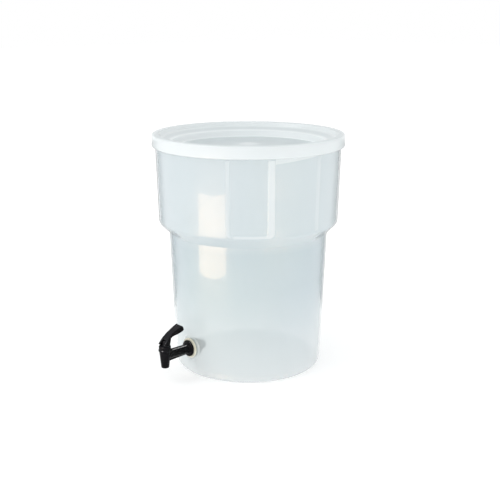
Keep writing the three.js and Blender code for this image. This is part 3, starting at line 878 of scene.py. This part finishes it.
def make_nut():
    low, high = node_box["shank_nut"]
    u_low = (AXIS_Y - high.y) / MM - PAD_OUT
    u_high = (AXIS_Y - low.y) / MM - PAD_OUT
    bore = SHANK_R + 0.3
    core = to_tap(spin(rounded([
        (bore, u_low, 0.3), (11.4, u_low, 0.8), (11.4, u_high - 2.8, 0.8),
        (14.5, u_high - 2.4, 0.8), (14.5, u_high, 0.4), (bore, u_high, 0.3),
    ]), 128))
    ribs = []
    for k in range(8):
        a = 2 * math.pi * k / 8
        rib = spin(rounded([
            (0, u_low + 0.8), (1.3, u_low + 0.8, 0.5), (1.3, u_high - 2.5), (0, u_high - 2.5)]), 20)
        bmesh.ops.translate(rib, vec=(11.6 * math.cos(a), 11.6 * math.sin(a), 0), verts=rib.verts)
        ribs.append(("UNION", to_tap(rib)))
    bm = cut_and_join(core, ribs)
    finish_piece(mesh_object("back_nut", bm, BLACK), "vessel", "black_plastic", "shank_nut")


make_bucket()
make_lid()
make_seal()
make_tap_body()
make_bonnet()
make_stem()
make_seat_cup()
make_spring()
make_pin()
make_lever()
make_washer("cream_washer", "outer_washer", CREAM, "cream_rubber")
make_washer("inside_washer", "inner_washer", SILICONE, "silicone")
make_nut()


# ---------------------------------------------------------------------------
# Floor and light
# ---------------------------------------------------------------------------
def make_floor():
    bm = bmesh.new()
    bmesh.ops.create_grid(bm, x_segments=1, y_segments=1, size=12)
    material, _, shader = principled(
        "floor", Roughness=0.9, Base_Color=(0.96, 0.96, 0.96, 1),
        Emission_Color=(1, 1, 1, 1), Emission_Strength=0.14,
    )
    shader.inputs["Specular IOR Level"].default_value = 0.1
    floor = mesh_object("floor", bm, material)


def make_cards():
    """Two dark cards behind the bucket that only gloss sees, to grey its outline a little."""
    material, _, _ = principled("card", Roughness=1.0, Base_Color=(0.01, 0.01, 0.01, 1))
    turn = math.radians(CAMERA_AZIMUTH)
    side = Vector((math.cos(turn), math.sin(turn), 0))
    away = Vector((-math.sin(turn), math.cos(turn), 0))
    for name, sign in (("left_card", -1), ("right_card", 1)):
        bm = bmesh.new()
        corners = [(0.11, 0), (0.45, 0), (0.45, 0.34), (0.11, 0.34)]
        bm.faces.new([
            bm.verts.new(Vector((0, AXIS_Y, z)) + side * sign * reach + away * 0.24) for reach, z in corners])
        card = mesh_object(name, bm, material)
        card.visible_camera = False
        card.visible_diffuse = False
        card.visible_shadow = False
        card.visible_transmission = False


def area_light(name, place, target, size, energy, colour=(1, 1, 1), visible_diffuse=True):
    data = bpy.data.lights.new(name, "AREA")
    data.shape = "RECTANGLE"
    data.size, data.size_y = size
    data.energy = energy
    data.color = colour
    light = bpy.data.objects.new(name, data)
    bpy.context.scene.collection.objects.link(light)
    light.location = place
    light.rotation_mode = "QUATERNION"
    light.rotation_quaternion = (Vector(target) - Vector(place)).to_track_quat("-Z", "Y")
    light.visible_camera = False
    light.visible_diffuse = visible_diffuse
    return light


def around(azimuth, distance, height):
    a = math.radians(azimuth)
    return Vector((distance * math.sin(a), AXIS_Y - distance * math.cos(a), height))


def make_light():
    world = bpy.data.worlds.new("studio")
    world.use_nodes = True
    world.node_tree.nodes["Background"].inputs["Color"].default_value = (1, 1, 1, 1)
    world.node_tree.nodes["Background"].inputs["Strength"].default_value = 1.0
    bpy.context.scene.world = world
    area_light("key", around(-20, 1.8, 1.9), (0, AXIS_Y, 0.2), (1.4, 1.4), 10)
    for name, azimuth, distance, height, size, energy in (
        ("upper_pane", 8.5, 0.583, 0.150, (0.348, 0.096), 0.84),
        ("lower_pane", 0.3, 0.553, 0.046, (0.40, 0.068), 0.90),
    ):
        place = around(azimuth, distance, height)
        area_light(name, place, (0, AXIS_Y, height), size, energy, PANE_COLOUR, False)
    area_light("rear", around(CAMERA_AZIMUTH + 180, 2.0, 0.62), (0, AXIS_Y, 0.37), (0.12, 0.04), 0.05,
               visible_diffuse=False)
    tap_pieces = bpy.data.collections.new("tap_pieces")
    for name in ("tap_moulding", "bonnet_cap", "stem_rod", "hinge_pin", "lever_paddle"):
        tap_pieces.objects.link(bpy.data.objects[name])
    for name, place, energy in (
        ("front_glint", around(-1, 0.9, 0.75), 22),
        ("back_glint", Vector((-0.18, VALVE_Y + 0.55, 0.75)), 6),
    ):
        glint = area_light(name, place, (0, VALVE_Y, 0.05), (GLINT_SIZE, GLINT_SIZE), energy)
        glint.light_linking.receiver_collection = tap_pieces
        glint.light_linking.blocker_collection = tap_pieces


bpy.context.scene.view_settings.view_transform = "Standard"
make_floor()
make_cards()
make_light()

bpy.context.view_layer.update()
